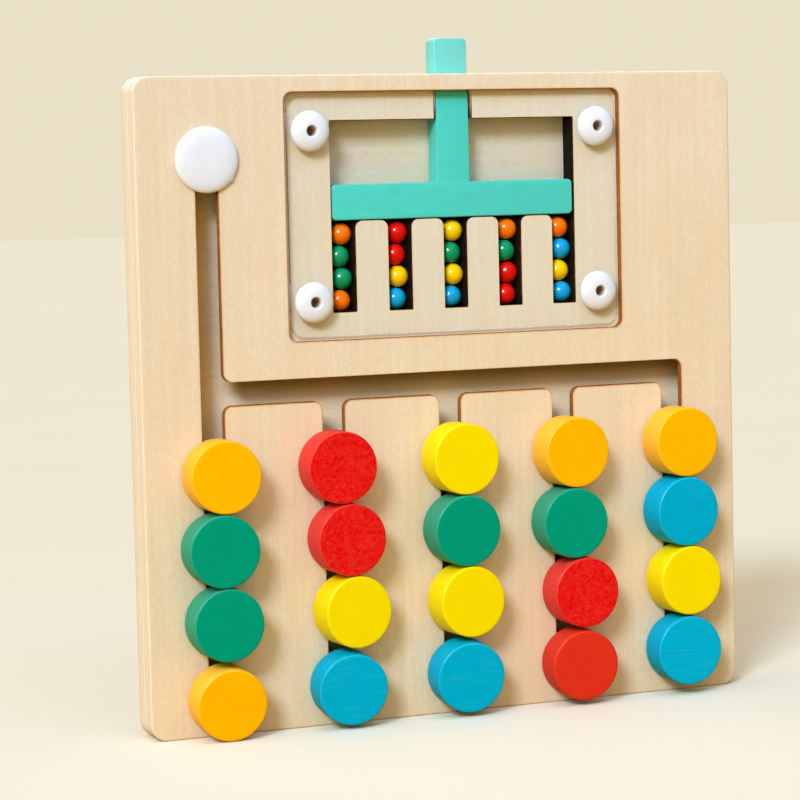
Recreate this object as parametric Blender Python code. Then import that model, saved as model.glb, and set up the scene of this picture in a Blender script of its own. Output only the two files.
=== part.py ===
"""Ball sorting puzzle: a square plywood board with sliding colour discs and a window of balls.

Three glued plywood panels make the board. The front panel holds the slots and the window opening,
the middle panel holds the ball chamber and the hidden tracks, and the back panel closes both.
Twenty wooden discs slide in five columns that meet in one cross channel. Behind a clear pane,
twenty balls show the pattern to copy, held in five short slots by a gate that lifts by its handle.

The board stands on its lower edge: X to the right, Z up, the front faces -Y, sizes in metres.
"""

import math

import bmesh
import bpy
from mathutils import Matrix, Vector

# Disc and ball colours of each column, from the top row to the bottom row
PATTERN = (
    ("amber", "green", "green", "amber"),
    ("red", "red", "yellow", "blue"),
    ("yellow", "green", "yellow", "blue"),
    ("amber", "green", "red", "red"),
    ("amber", "blue", "yellow", "blue"),
)
COLUMN_COUNT = len(PATTERN)
ROW_COUNT = len(PATTERN[0])

# Board: its width and height follow from the columns, the window and these margins
SIDE_MARGIN = 0.0266
BOTTOM_MARGIN = 0.00375
TOP_MARGIN = 0.0062
BOARD_CORNER_RADIUS = 0.006
FRONT_THICKNESS = 0.003
BACK_THICKNESS = 0.003
GLUE_LINE = 0.0001
EDGE_ROUNDING = 0.0004
SEAT_GAP = 0.0003

# Discs and the slots they slide in
COLUMN_PITCH = 0.0467
CHANNEL_RISE = 0.01435
SLOT_WIDTH = 0.0086
SLOT_CORNER_RADIUS = 0.0034
DISC_DIAMETER = 0.0265
DISC_THICKNESS = 0.0125
DISC_EDGE_ROUNDING = 0.0007
DISC_STANDOFF = 0.0012
STEM_DIAMETER = 0.0032
STEM_CLEARANCE = 0.0003
FOOT_DIAMETER = 0.0180
FOOT_THICKNESS = 0.0040
FOOT_FACE_CLEARANCE = 0.0005
FOOT_SIDE_CLEARANCE = 0.0006

# How the loose discs rest: each one's place across its slot, from -1 at the left to 1 at the right,
# from the top row to the bottom row, then how far each column's stack hangs below level, and how
# far its bottom disc hangs below the stack
REST_ACROSS = (
    (0.1, -0.4, -0.15, 0.0),
    (-0.75, 0.4, 0.8, 0.4),
    (0.1, 0.1, 0.45, 0.6),
    (-0.4, -0.65, 1.0, 0.9),
    (-0.35, -0.45, -0.1, 0.0),
)
STACK_DROP = (0.0012, 0.0004, 0.0002, 0.0004, -0.0008)
BOTTOM_DISC_DROP = (0.0014, 0.0010, 0.0009, 0.0009, 0.0004)

# Hole that takes the discs' feet in, and the plug that closes it
LOADING_HOLE_DROP = 0.0300
LOADING_HOLE_CLEARANCE = 0.0010
PLUG_OVERLAP = 0.0020
PLUG_CAP_THICKNESS = 0.0024
PLUG_CAP_ROUNDING = 0.0012
PLUG_CLEARANCE = 0.0003

# Balls and their chamber
BALL_DIAMETER = 0.0080
BALL_GAP = 0.0002
BALL_SIDE_PLAY = 0.0007
BALL_DEPTH_PLAY = 0.0010
BALL_HEADROOM = 0.0008
BALL_SLOT_PITCH = 0.0224
LOWEST_BALL_SIDE = (-1, -1, -1, -1, 1)
CHAMBER_OPEN_HEIGHT = 0.0370
CHAMBER_CORNER_RADIUS = 0.0010
COMB_CORNER_RADIUS = 0.0028

# Window, pane and the rivets that hold it: the pane laps over the chamber on every side
WINDOW_FROM_LEFT_SLOT = 0.0303
WINDOW_FROM_CHANNEL = 0.0135
LAP_SIDE = 0.0183
LAP_BOTTOM = 0.0100
LAP_TOP = 0.0104
WINDOW_CORNER_RADIUS = 0.0032
PANE_MARGIN = 0.0013
PANE_THICKNESS = 0.0020
PANE_CORNER_RADIUS = 0.0050
RIVET_INSET_X = 0.0099
RIVET_INSET_Z = 0.0142
RIVET_HEAD_DIAMETER = 0.0150
RIVET_HEAD_HEIGHT = 0.0030
RIVET_RIM_HEIGHT = 0.0009
RIVET_SHANK_DIAMETER = 0.0066
RIVET_SHANK_LENGTH = 0.0085
RIVET_TIP_CHAMFER = 0.0013
RIVET_MOUTH_DIAMETER = 0.0052
RIVET_HOLE_END_DIAMETER = 0.0026
RIVET_HOLE_DEPTH = 0.0070
RIVET_CLEARANCE = 0.0003

# Gate
GATE_BAR_HEIGHT = 0.0131
GATE_STEM_WIDTH = 0.0131
GATE_HANDLE_RISE = 0.0132
GATE_END_CLEARANCE = 0.0006
GATE_STEM_CLEARANCE = 0.0006
GATE_FACE_CLEARANCE = 0.0004
GATE_CORNER_RADIUS = 0.0018

# Facets
CORNER_STEPS = 5
DISC_STEPS = 28
STEM_STEPS = 14
PLUG_STEPS = 32
PLUG_RIM_STEPS = 3
RIVET_STEPS = 16
RIVET_DOME_STEPS = 4
RIM_STEPS = 2
BALL_SEGMENTS = 10
BALL_RINGS = 8
SMOOTH_ANGLE = math.radians(35)

# Colours
DISC_PAINT = {
    "amber": (1.00, 0.47, 0.002),
    "green": (0.003, 0.32, 0.17),
    "red": (0.80, 0.013, 0.010),
    "yellow": (0.90, 0.70, 0.003),
    "blue": (0.002, 0.39, 0.61),
}
BALL_PAINT = {
    "amber": (1.00, 0.16, 0.002),
    "green": (0.004, 0.25, 0.10),
    "red": (0.72, 0.006, 0.006),
    "yellow": (0.87, 0.58, 0.003),
    "blue": (0.003, 0.30, 0.72),
}
BIRCH = (0.82, 0.63, 0.42)
GATE_PAINT = (0.11, 0.62, 0.50)
WHITE_PLASTIC = (0.86, 0.86, 0.86)
CLEAR_ACRYLIC = (0.90, 0.93, 0.92)

# Discs, feet and tracks
DISC_PITCH = DISC_DIAMETER + SEAT_GAP
BOTTOM_DISC_HEIGHT = BOTTOM_MARGIN + DISC_DIAMETER / 2
DISC_STACK_TOP = BOTTOM_DISC_HEIGHT + (ROW_COUNT - 1) * DISC_PITCH + DISC_DIAMETER / 2
CHANNEL_HEIGHT = DISC_STACK_TOP + CHANNEL_RISE
LOWEST_DISC_HEIGHT = BOTTOM_DISC_HEIGHT - max(map(sum, zip(STACK_DROP, BOTTOM_DISC_DROP)))
STEM_RADIUS = STEM_DIAMETER / 2
STEM_PLAY = SLOT_WIDTH / 2 - STEM_RADIUS - STEM_CLEARANCE
FOOT_RADIUS = FOOT_DIAMETER / 2
FOOT_TRACK_HALF = FOOT_RADIUS + STEM_PLAY + FOOT_SIDE_CLEARANCE
LOADING_HOLE_RADIUS = FOOT_RADIUS + LOADING_HOLE_CLEARANCE

# Ball chamber, window and board
BALL_SLOT_WIDTH = BALL_DIAMETER + 2 * BALL_SIDE_PLAY
BALL_PITCH = BALL_DIAMETER + BALL_GAP
CHAMBER_WIDTH = (COLUMN_COUNT - 1) * BALL_SLOT_PITCH + BALL_SLOT_WIDTH
WINDOW_BOTTOM = CHANNEL_HEIGHT + SLOT_WIDTH / 2 + WINDOW_FROM_CHANNEL
BALL_SLOT_BOTTOM = WINDOW_BOTTOM + LAP_BOTTOM
COMB_TOP = BALL_SLOT_BOTTOM + ROW_COUNT * BALL_PITCH + BALL_HEADROOM
CHAMBER_TOP = COMB_TOP + CHAMBER_OPEN_HEIGHT
WINDOW_TOP = CHAMBER_TOP + LAP_TOP
WINDOW_HALF_WIDTH = CHAMBER_WIDTH / 2 + LAP_SIDE
BOARD_WIDTH = (COLUMN_COUNT - 1) * COLUMN_PITCH + 2 * SIDE_MARGIN
BOARD_HEIGHT = WINDOW_TOP + TOP_MARGIN
LOADING_HOLE_HEIGHT = BOARD_HEIGHT - LOADING_HOLE_DROP
WINDOW_CENTRE_X = SIDE_MARGIN - BOARD_WIDTH / 2 + WINDOW_FROM_LEFT_SLOT + WINDOW_HALF_WIDTH
GATE_NOTCH_WIDTH = GATE_STEM_WIDTH + 2 * GATE_STEM_CLEARANCE

# Depths are measured from the board's front face, which lies at FRONT_FACE_Y. The whole part,
# from the disc faces to the back panel, is centred on Y = 0.
MIDDLE_THICKNESS = BALL_DIAMETER + BALL_DEPTH_PLAY
MIDDLE_FRONT = FRONT_THICKNESS + GLUE_LINE
MIDDLE_BACK = MIDDLE_FRONT + MIDDLE_THICKNESS
BACK_FRONT = MIDDLE_BACK + GLUE_LINE
BOARD_DEPTH = BACK_FRONT + BACK_THICKNESS
PANE_BACK = MIDDLE_FRONT - SEAT_GAP
PANE_FRONT = PANE_BACK - PANE_THICKNESS
DISC_FACE = -DISC_STANDOFF - DISC_THICKNESS
FRONT_FACE_Y = -(BOARD_DEPTH + DISC_FACE) / 2


def past(front, back):
    """Depths of a cutter that runs past both faces of a panel by the panel's own thickness."""
    return 2 * front - back, 2 * back - front


def column_x(column):
    """X of a disc column, counted from 0 at the left."""
    return (column - (COLUMN_COUNT - 1) / 2) * COLUMN_PITCH


def ball_slot_x(column):
    """X of a ball slot, counted from 0 at the left."""
    return WINDOW_CENTRE_X + (column - (COLUMN_COUNT - 1) / 2) * BALL_SLOT_PITCH


def paint(name, colour, roughness, alpha=1.0):
    """A plain Principled material."""
    material = bpy.data.materials.new(name)
    material.use_nodes = True
    shader = material.node_tree.nodes["Principled BSDF"]
    shader.inputs["Base Color"].default_value = (*colour, 1.0)
    shader.inputs["Roughness"].default_value = roughness
    shader.inputs["Metallic"].default_value = 0.0
    shader.inputs["Alpha"].default_value = alpha
    material.diffuse_color = (*colour, alpha)
    return material


def rounded(corners):
    """Outline through (x, z, radius) corners, each corner replaced by a tangent arc."""
    outline = []
    for index, (x, z, radius) in enumerate(corners):
        here = Vector((x, z))
        before = Vector(corners[index - 1][:2]) - here
        after = Vector(corners[(index + 1) % len(corners)][:2]) - here
        radius = min(radius, 0.49 * before.length, 0.49 * after.length)
        if radius <= 0:
            outline.append(here)
            continue
        before.normalize()
        after.normalize()
        half = before.angle(after) / 2
        centre = here + (before + after).normalized() * radius / math.sin(half)
        start = here + before * radius / math.tan(half) - centre
        end = here + after * radius / math.tan(half) - centre
        turn = start.angle_signed(end)
        for step in range(CORNER_STEPS + 1):
            outline.append(centre + Matrix.Rotation(-turn * step / CORNER_STEPS, 2) @ start)
    return outline


def rectangle(left, right, bottom, top, radius):
    """Rounded rectangle, anticlockwise as the front is seen."""
    return rounded([
        (left, bottom, radius),
        (right, bottom, radius),
        (right, top, radius),
        (left, top, radius),
    ])


def circle(x, z, radius, steps):
    """Regular polygon for a round hole."""
    angles = [2 * math.pi * step / steps for step in range(steps)]
    return [Vector((x + radius * math.cos(a), z + radius * math.sin(a))) for a in angles]


def prism_mesh(name, outlines, front, back, front_rounding=0.0, back_rounding=0.0):
    """Outlines in the X-Z plane extruded between two depths, with optional rounded rims."""
    shape = bmesh.new()
    for outline in outlines:
        rim = [shape.verts.new((p.x, FRONT_FACE_Y + front, p.y)) for p in outline]
        cap = shape.faces.new(rim)
        swept = bmesh.ops.extrude_face_region(shape, geom=[cap])["geom"]
        moved = [item for item in swept if isinstance(item, bmesh.types.BMVert)]
        bmesh.ops.translate(shape, verts=moved, vec=(0, back - front, 0))
    bmesh.ops.recalc_face_normals(shape, faces=shape.faces)
    for depth, rounding in ((front, front_rounding), (back, back_rounding)):
        if rounding:
            level = FRONT_FACE_Y + depth
            edges = [e for e in shape.edges if all(abs(v.co.y - level) < 1e-7 for v in e.verts)]
            bmesh.ops.bevel(shape, geom=edges, offset=rounding, segments=RIM_STEPS, affect="EDGES")
    mesh = bpy.data.meshes.new(name)
    shape.to_mesh(mesh)
    shape.free()
    return mesh


def lathe_mesh(name, profile, steps):
    """(radius, depth) profile, from axis to axis, turned about an axis along Y."""
    shape = bmesh.new()
    points = [shape.verts.new((radius, depth, 0)) for radius, depth in profile]
    edges = [shape.edges.new(pair) for pair in zip(points, points[1:])]
    bmesh.ops.spin(
        shape,
        geom=points + edges,
        cent=(0, 0, 0),
        axis=(0, 1, 0),
        angle=2 * math.pi,
        steps=steps,
        use_merge=True,
    )
    bmesh.ops.remove_doubles(shape, verts=shape.verts, dist=1e-7)
    bmesh.ops.recalc_face_normals(shape, faces=shape.faces)
    mesh = bpy.data.meshes.new(name)
    shape.to_mesh(mesh)
    shape.free()
    return mesh


def smooth(mesh):
    """Smooth shading on the round faces, sharp on the true edges."""
    mesh.shade_smooth()
    mesh.set_sharp_from_angle(angle=SMOOTH_ANGLE)


def place(name, mesh, material, location=(0, 0, 0)):
    """A named piece of the puzzle with its own material, so that copies can share one mesh."""
    piece = bpy.data.objects.new(name, mesh)
    bpy.context.scene.collection.objects.link(piece)
    if not mesh.materials:
        mesh.materials.append(None)
    piece.material_slots[0].link = "OBJECT"
    piece.material_slots[0].material = material
    piece.location = location
    return piece


def cutter(name, mesh):
    """A helper that only cuts."""
    tool = bpy.data.objects.new(name, mesh)
    bpy.context.scene.collection.objects.link(tool)
    tool.hide_render = True
    tool.display_type = "WIRE"
    return tool


def combine(piece, tool, operation="DIFFERENCE"):
    """Boolean modifier with the exact solver."""
    modifier = piece.modifiers.new(tool.name, "BOOLEAN")
    modifier.operation = operation
    modifier.solver = "EXACT"
    modifier.object = tool


def track_outline(half_width, bottom, left_top, finger_radius, end_radius, bottom_radius):
    """Outline of the comb-shaped track: every column, the cross channel and the long left leg."""
    low = CHANNEL_HEIGHT - half_width
    high = CHANNEL_HEIGHT + half_width
    first = column_x(0)
    last = column_x(COLUMN_COUNT - 1)
    corners = []
    for column in range(COLUMN_COUNT):
        left = column_x(column) - half_width
        right = column_x(column) + half_width
        if column:
            corners.append((left, low, finger_radius))
        corners.append((left, bottom, bottom_radius))
        corners.append((right, bottom, bottom_radius))
        if column < COLUMN_COUNT - 1:
            corners.append((right, low, finger_radius))
    corners.append((last + half_width, high, end_radius))
    corners.append((first + half_width, high, finger_radius))
    corners.append((first + half_width, left_top, end_radius))
    corners.append((first - half_width, left_top, end_radius))
    return rounded(corners)


def chamber_outline():
    """Outline of the ball chamber: open space, comb of ball slots and the notch for the gate's stem."""
    left = WINDOW_CENTRE_X - CHAMBER_WIDTH / 2
    right = WINDOW_CENTRE_X + CHAMBER_WIDTH / 2
    notch_left = WINDOW_CENTRE_X - GATE_NOTCH_WIDTH / 2
    notch_right = WINDOW_CENTRE_X + GATE_NOTCH_WIDTH / 2
    over_top = BOARD_HEIGHT + GATE_HANDLE_RISE
    corners = []
    for column in range(COLUMN_COUNT):
        slot_left = ball_slot_x(column) - BALL_SLOT_WIDTH / 2
        slot_right = ball_slot_x(column) + BALL_SLOT_WIDTH / 2
        if column:
            corners.append((slot_left, COMB_TOP, COMB_CORNER_RADIUS))
        corners.append((slot_left, BALL_SLOT_BOTTOM, CHAMBER_CORNER_RADIUS))
        corners.append((slot_right, BALL_SLOT_BOTTOM, CHAMBER_CORNER_RADIUS))
        if column < COLUMN_COUNT - 1:
            corners.append((slot_right, COMB_TOP, COMB_CORNER_RADIUS))
    corners.append((right, CHAMBER_TOP, CHAMBER_CORNER_RADIUS))
    corners.append((notch_right, CHAMBER_TOP, 0))
    corners.append((notch_right, over_top, 0))
    corners.append((notch_left, over_top, 0))
    corners.append((notch_left, CHAMBER_TOP, 0))
    corners.append((left, CHAMBER_TOP, CHAMBER_CORNER_RADIUS))
    return rounded(corners)


def window_rectangle(margin, radius):
    """Outline of the window opening, drawn in by a margin."""
    return rectangle(
        WINDOW_CENTRE_X - WINDOW_HALF_WIDTH + margin,
        WINDOW_CENTRE_X + WINDOW_HALF_WIDTH - margin,
        WINDOW_BOTTOM + margin,
        WINDOW_TOP - margin,
        radius,
    )


def rivet_places():
    """(name, x, z) of the four rivets near the window's corners."""
    left = WINDOW_CENTRE_X - WINDOW_HALF_WIDTH + RIVET_INSET_X
    right = WINDOW_CENTRE_X + WINDOW_HALF_WIDTH - RIVET_INSET_X
    low = WINDOW_BOTTOM + RIVET_INSET_Z
    high = WINDOW_TOP - RIVET_INSET_Z
    return (
        ("rivet_top_left", left, high),
        ("rivet_top_right", right, high),
        ("rivet_bottom_left", left, low),
        ("rivet_bottom_right", right, low),
    )


def quarter_round(radius_out, depth_out, rounding, steps):
    """Points of a rounded rim that turns from a flat face at depth_out to a side at radius_out."""
    points = []
    for step in range(steps + 1):
        angle = math.pi / 2 * step / steps
        points.append((
            radius_out - rounding + rounding * math.sin(angle),
            depth_out + rounding - rounding * math.cos(angle),
        ))
    return points


def build_panels():
    """Front, middle and back panel with all their cut-outs."""
    half = BOARD_WIDTH / 2
    outline = rectangle(-half, half, 0, BOARD_HEIGHT, BOARD_CORNER_RADIUS)
    birch = paint("birch_front", BIRCH, 0.55)

    front = prism_mesh("front_panel", [outline], 0, FRONT_THICKNESS, front_rounding=EDGE_ROUNDING)
    front_panel = place("front_panel", front, birch)
    slot_bottom = LOWEST_DISC_HEIGHT - STEM_RADIUS - SEAT_GAP
    # The slots' lower corners are no rounder than a stem, so that a disc can seat anywhere across its slot
    slots = track_outline(
        SLOT_WIDTH / 2,
        slot_bottom,
        LOADING_HOLE_HEIGHT,
        SLOT_CORNER_RADIUS,
        SLOT_CORNER_RADIUS,
        STEM_RADIUS,
    )
    loading_hole = circle(column_x(0), LOADING_HOLE_HEIGHT, LOADING_HOLE_RADIUS, PLUG_STEPS)
    window = window_rectangle(0, WINDOW_CORNER_RADIUS)
    ends = past(0, FRONT_THICKNESS)
    combine(front_panel, cutter("cut_slots", prism_mesh("cut_slots", [slots], *ends)))
    combine(front_panel, cutter("cut_loading_hole", prism_mesh("cut_loading_hole", [loading_hole], *ends)))
    combine(front_panel, cutter("cut_window", prism_mesh("cut_window", [window], *ends)))

    middle_panel = place(
        "middle_panel",
        prism_mesh("middle_panel", [outline], MIDDLE_FRONT, MIDDLE_BACK),
        paint("birch_middle", BIRCH, 0.6),
    )
    ends = past(MIDDLE_FRONT, MIDDLE_BACK)
    foot_track = track_outline(
        FOOT_TRACK_HALF,
        LOWEST_DISC_HEIGHT - FOOT_RADIUS - FOOT_SIDE_CLEARANCE,
        LOADING_HOLE_HEIGHT + FOOT_TRACK_HALF,
        CHAMBER_CORNER_RADIUS,
        SLOT_CORNER_RADIUS,
        SLOT_CORNER_RADIUS,
    )
    shank_hole = RIVET_SHANK_DIAMETER / 2 + RIVET_CLEARANCE
    rivet_holes = [circle(x, z, shank_hole, RIVET_STEPS) for _, x, z in rivet_places()]
    combine(middle_panel, cutter("cut_foot_track", prism_mesh("cut_foot_track", [foot_track], *ends)))
    combine(middle_panel, cutter("cut_chamber", prism_mesh("cut_chamber", [chamber_outline()], *ends)))
    combine(middle_panel, cutter("cut_rivets_middle", prism_mesh("cut_rivets_middle", rivet_holes, *ends)))

    back = prism_mesh("back_panel", [outline], BACK_FRONT, BOARD_DEPTH, back_rounding=EDGE_ROUNDING)
    place("back_panel", back, paint("birch_back", BIRCH, 0.6))

    pane_outline = window_rectangle(PANE_MARGIN, PANE_CORNER_RADIUS)
    window_pane = place(
        "window_pane",
        prism_mesh("window_pane", [pane_outline], PANE_FRONT, PANE_BACK),
        paint("clear_acrylic", CLEAR_ACRYLIC, 0.05, alpha=0.2),
    )
    ends = past(PANE_FRONT, PANE_BACK)
    combine(window_pane, cutter("cut_rivets_pane", prism_mesh("cut_rivets_pane", rivet_holes, *ends)))


def build_rivets():
    """Domed push rivets with a tapered blind hole, seated on the pane."""
    seat = -SEAT_GAP
    crown = seat - RIVET_HEAD_HEIGHT
    rim = seat - RIVET_RIM_HEIGHT
    head = RIVET_HEAD_DIAMETER / 2
    shank = RIVET_SHANK_DIAMETER / 2
    mouth = RIVET_MOUTH_DIAMETER / 2
    dome = []
    for step in range(RIVET_DOME_STEPS + 1):
        angle = math.pi / 2 * step / RIVET_DOME_STEPS
        radius = mouth + (head - mouth) * math.sin(angle)
        dome.append((radius, rim - (rim - crown) * math.cos(angle)))
    hole_end = crown + RIVET_HOLE_DEPTH
    profile = [(0, hole_end), (RIVET_HOLE_END_DIAMETER / 2, hole_end)]
    profile += dome
    profile += [
        (head, seat),
        (shank, seat),
        (shank, RIVET_SHANK_LENGTH - RIVET_TIP_CHAMFER),
        (shank - RIVET_TIP_CHAMFER, RIVET_SHANK_LENGTH),
        (0, RIVET_SHANK_LENGTH),
    ]
    mesh = lathe_mesh("rivet", profile, RIVET_STEPS)
    smooth(mesh)
    for name, x, z in rivet_places():
        white = paint(name + "_plastic", WHITE_PLASTIC, 0.3)
        place(name, mesh, white, (x, FRONT_FACE_Y + PANE_FRONT, z))


def build_plug():
    """White cap with a boss that closes the loading hole at the top of the left slot."""
    cap = LOADING_HOLE_RADIUS + PLUG_OVERLAP
    boss = LOADING_HOLE_RADIUS - PLUG_CLEARANCE
    seat = -SEAT_GAP
    face = seat - PLUG_CAP_THICKNESS
    profile = [(0, face)]
    profile += quarter_round(cap, face, PLUG_CAP_ROUNDING, PLUG_RIM_STEPS)
    profile += [(cap, seat), (boss, seat), (boss, FRONT_THICKNESS), (0, FRONT_THICKNESS)]
    mesh = lathe_mesh("end_plug", profile, PLUG_STEPS)
    smooth(mesh)
    white = paint("plug_plastic", WHITE_PLASTIC, 0.3)
    place("end_plug", mesh, white, (column_x(0), FRONT_FACE_Y, LOADING_HOLE_HEIGHT))


def slider_mesh():
    """A disc on a stem whose wide foot runs behind the front panel."""
    radius = DISC_DIAMETER / 2
    disc_profile = [(0, DISC_FACE)]
    disc_profile += quarter_round(radius, DISC_FACE, DISC_EDGE_ROUNDING, RIM_STEPS)
    disc_profile += [(radius, -DISC_STANDOFF), (0, -DISC_STANDOFF)]
    foot_front = MIDDLE_FRONT + FOOT_FACE_CLEARANCE
    stem_profile = [
        (0, -DISC_STANDOFF - DISC_THICKNESS / 2),
        (STEM_RADIUS, -DISC_STANDOFF - DISC_THICKNESS / 2),
        (STEM_RADIUS, foot_front),
        (FOOT_RADIUS, foot_front),
        (FOOT_RADIUS, foot_front + FOOT_THICKNESS),
        (0, foot_front + FOOT_THICKNESS),
    ]
    disc = cutter("disc_blank", lathe_mesh("disc_blank", disc_profile, DISC_STEPS))
    stem = cutter("stem_blank", lathe_mesh("stem_blank", stem_profile, STEM_STEPS))
    combine(disc, stem, "UNION")
    bpy.context.view_layer.update()
    fused = disc.evaluated_get(bpy.context.evaluated_depsgraph_get())
    mesh = bpy.data.meshes.new_from_object(fused)
    mesh.name = "slider"
    mesh.materials.clear()
    bpy.data.objects.remove(disc)
    bpy.data.objects.remove(stem)
    smooth(mesh)
    return mesh


def build_sliders():
    """One slider for each place of the colour pattern, stacked loosely from the bottom of its column."""
    mesh = slider_mesh()
    for column in range(COLUMN_COUNT):
        for row in range(ROW_COUNT):
            from_top = ROW_COUNT - 1 - row
            colour = PATTERN[column][from_top]
            name = f"slider_c{column + 1}_r{row + 1}"
            gloss = paint(name + "_" + colour, DISC_PAINT[colour], 0.35)
            across = column_x(column) + REST_ACROSS[column][from_top] * STEM_PLAY
            height = BOTTOM_DISC_HEIGHT + row * DISC_PITCH - STACK_DROP[column]
            if row == 0:
                height -= BOTTOM_DISC_DROP[column]
            place(name, mesh, gloss, (across, FRONT_FACE_Y, height))


def build_balls():
    """Balls that lie in a shallow zigzag in their slots, as loose balls do: the lowest one of each
    column rests at the left, -1, or at the right, 1."""
    shape = bmesh.new()
    bmesh.ops.create_uvsphere(
        shape, u_segments=BALL_SEGMENTS, v_segments=BALL_RINGS, radius=BALL_DIAMETER / 2
    )
    mesh = bpy.data.meshes.new("ball")
    shape.to_mesh(mesh)
    shape.free()
    mesh.shade_smooth()
    depth = BACK_FRONT - SEAT_GAP - BALL_DIAMETER / 2
    for column in range(COLUMN_COUNT):
        for row in range(ROW_COUNT):
            colour = PATTERN[column][ROW_COUNT - 1 - row]
            name = f"ball_c{column + 1}_r{row + 1}"
            gloss = paint(name + "_" + colour, BALL_PAINT[colour], 0.15)
            side = (BALL_SIDE_PLAY - BALL_GAP) * LOWEST_BALL_SIDE[column] * (-1) ** row
            height = BALL_SLOT_BOTTOM + BALL_GAP + BALL_DIAMETER / 2 + row * BALL_PITCH
            place(name, mesh, gloss, (ball_slot_x(column) + side, FRONT_FACE_Y + depth, height))


def build_gate():
    """T-shaped gate: its bar rests on the comb and its stem leaves through the board's top edge."""
    bar_half = CHAMBER_WIDTH / 2 - GATE_END_CLEARANCE
    stem_half = GATE_STEM_WIDTH / 2
    bottom = COMB_TOP + SEAT_GAP
    bar_top = bottom + GATE_BAR_HEIGHT
    top = BOARD_HEIGHT + GATE_HANDLE_RISE
    radius = GATE_CORNER_RADIUS
    outline = rounded([
        (-bar_half, bottom, radius),
        (bar_half, bottom, radius),
        (bar_half, bar_top, radius),
        (stem_half, bar_top, 0),
        (stem_half, top, radius),
        (-stem_half, top, radius),
        (-stem_half, bar_top, 0),
        (-bar_half, bar_top, radius),
    ])
    front = MIDDLE_FRONT + GATE_FACE_CLEARANCE
    back = MIDDLE_BACK - GATE_FACE_CLEARANCE
    mesh = prism_mesh("gate", [outline], front, back, EDGE_ROUNDING, EDGE_ROUNDING)
    place("gate", mesh, paint("gate_paint", GATE_PAINT, 0.45), (WINDOW_CENTRE_X, 0, 0))


for leftover in list(bpy.data.objects):
    bpy.data.objects.remove(leftover)

build_panels()
build_rivets()
build_plug()
build_gate()
build_sliders()
build_balls()
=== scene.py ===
# %% [markdown]
# # A ball sorting puzzle, dressed for its picture
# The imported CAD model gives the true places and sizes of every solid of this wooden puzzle. This script
# lays finer pieces over those solids, gives each surface its own wood, paint, plastic or acrylic, and
# sets up the light and the camera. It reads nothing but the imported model.

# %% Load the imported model
import math

import bmesh
import bpy
import numpy as np
from mathutils import Matrix, Vector
from mathutils.geometry import tessellate_polygon


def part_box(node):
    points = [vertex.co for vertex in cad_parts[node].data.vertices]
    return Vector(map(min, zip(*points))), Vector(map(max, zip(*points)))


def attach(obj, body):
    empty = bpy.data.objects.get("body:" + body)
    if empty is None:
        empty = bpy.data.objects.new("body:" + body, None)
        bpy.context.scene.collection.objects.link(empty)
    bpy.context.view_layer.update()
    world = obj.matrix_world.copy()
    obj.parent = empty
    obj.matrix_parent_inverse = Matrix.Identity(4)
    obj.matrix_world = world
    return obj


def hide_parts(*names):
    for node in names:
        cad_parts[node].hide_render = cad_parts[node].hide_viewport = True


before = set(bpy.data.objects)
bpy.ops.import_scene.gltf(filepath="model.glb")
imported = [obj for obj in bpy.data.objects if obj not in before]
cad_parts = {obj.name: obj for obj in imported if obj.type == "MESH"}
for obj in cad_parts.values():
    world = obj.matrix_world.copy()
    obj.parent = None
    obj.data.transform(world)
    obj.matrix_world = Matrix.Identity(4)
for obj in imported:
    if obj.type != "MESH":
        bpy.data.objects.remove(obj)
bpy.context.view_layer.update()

# %% [markdown]
# ## Camera
# The puzzle stands upright and is seen from its left, a little from above, through a long lens. The
# angles come from the board's four corners, the disc centres and the slots. A fresh camera looks down, so
# it is first tipped up to the horizon, then turned and rolled. Its shift stays at zero, so that other
# views stay centred.

# %% Objects of the scene
def add_object(name, data):
    """A new object that the scene shows."""
    thing = bpy.data.objects.new(name, data)
    bpy.context.scene.collection.objects.link(thing)
    return thing

# %% Camera
PHOTO_SIDE = 800
SENSOR_WIDTH = 36.0
FOCAL_LENGTH_IN_PIXELS = 2820.5
EYE = Vector((-0.41583, -0.96826, 0.20604))
HEADING, PITCH, ROLL = (math.radians(angle) for angle in (22.241, -4.736, -1.333))

camera = add_object("camera", bpy.data.cameras.new("camera"))
camera.data.sensor_width = SENSOR_WIDTH
camera.data.lens = FOCAL_LENGTH_IN_PIXELS * SENSOR_WIDTH / PHOTO_SIDE
camera.matrix_world = (
    Matrix.Translation(EYE)
    @ Matrix.Rotation(-HEADING, 4, "Z")
    @ Matrix.Rotation(math.pi / 2 + PITCH, 4, "X")
    @ Matrix.Rotation(ROLL, 4, "Z")
)
bpy.context.scene.camera = camera
print("lens", round(camera.data.lens, 1), "mm")

# %% [markdown]
# ## Short words for shader nodes
# Every finish below is a small net of shader nodes. These helpers add one node and join its inputs in one
# line, so that the nets read like formulas.

# %% Node helpers
EVEN = (1.0, 1.0, 1.0)


def feed(tree, socket, value):
    """Joins an output to an input, or sets the input's own value."""
    if isinstance(value, bpy.types.NodeSocket):
        tree.links.new(value, socket)
    elif isinstance(value, tuple) and len(value) == 3 and socket.type == "RGBA":
        socket.default_value = (*value, 1.0)
    else:
        socket.default_value = value


def put(tree, kind, inputs=None, **options):
    """Adds one node of a kind with its options, and feeds its named inputs."""
    node = tree.nodes.new(kind)
    for option, value in options.items():
        setattr(node, option, value)
    for label, value in (inputs or {}).items():
        feed(tree, node.inputs[label], value)
    return node


def calc(tree, operation, *values):
    """One step of arithmetic."""
    node = put(tree, "ShaderNodeMath", operation=operation)
    for socket, value in zip(node.inputs, values):
        feed(tree, socket, value)
    return node.outputs[0]


def times(tree, *values):
    """The product of two or more values."""
    product = values[0]
    for value in values[1:]:
        product = calc(tree, "MULTIPLY", product, value)
    return product


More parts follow.
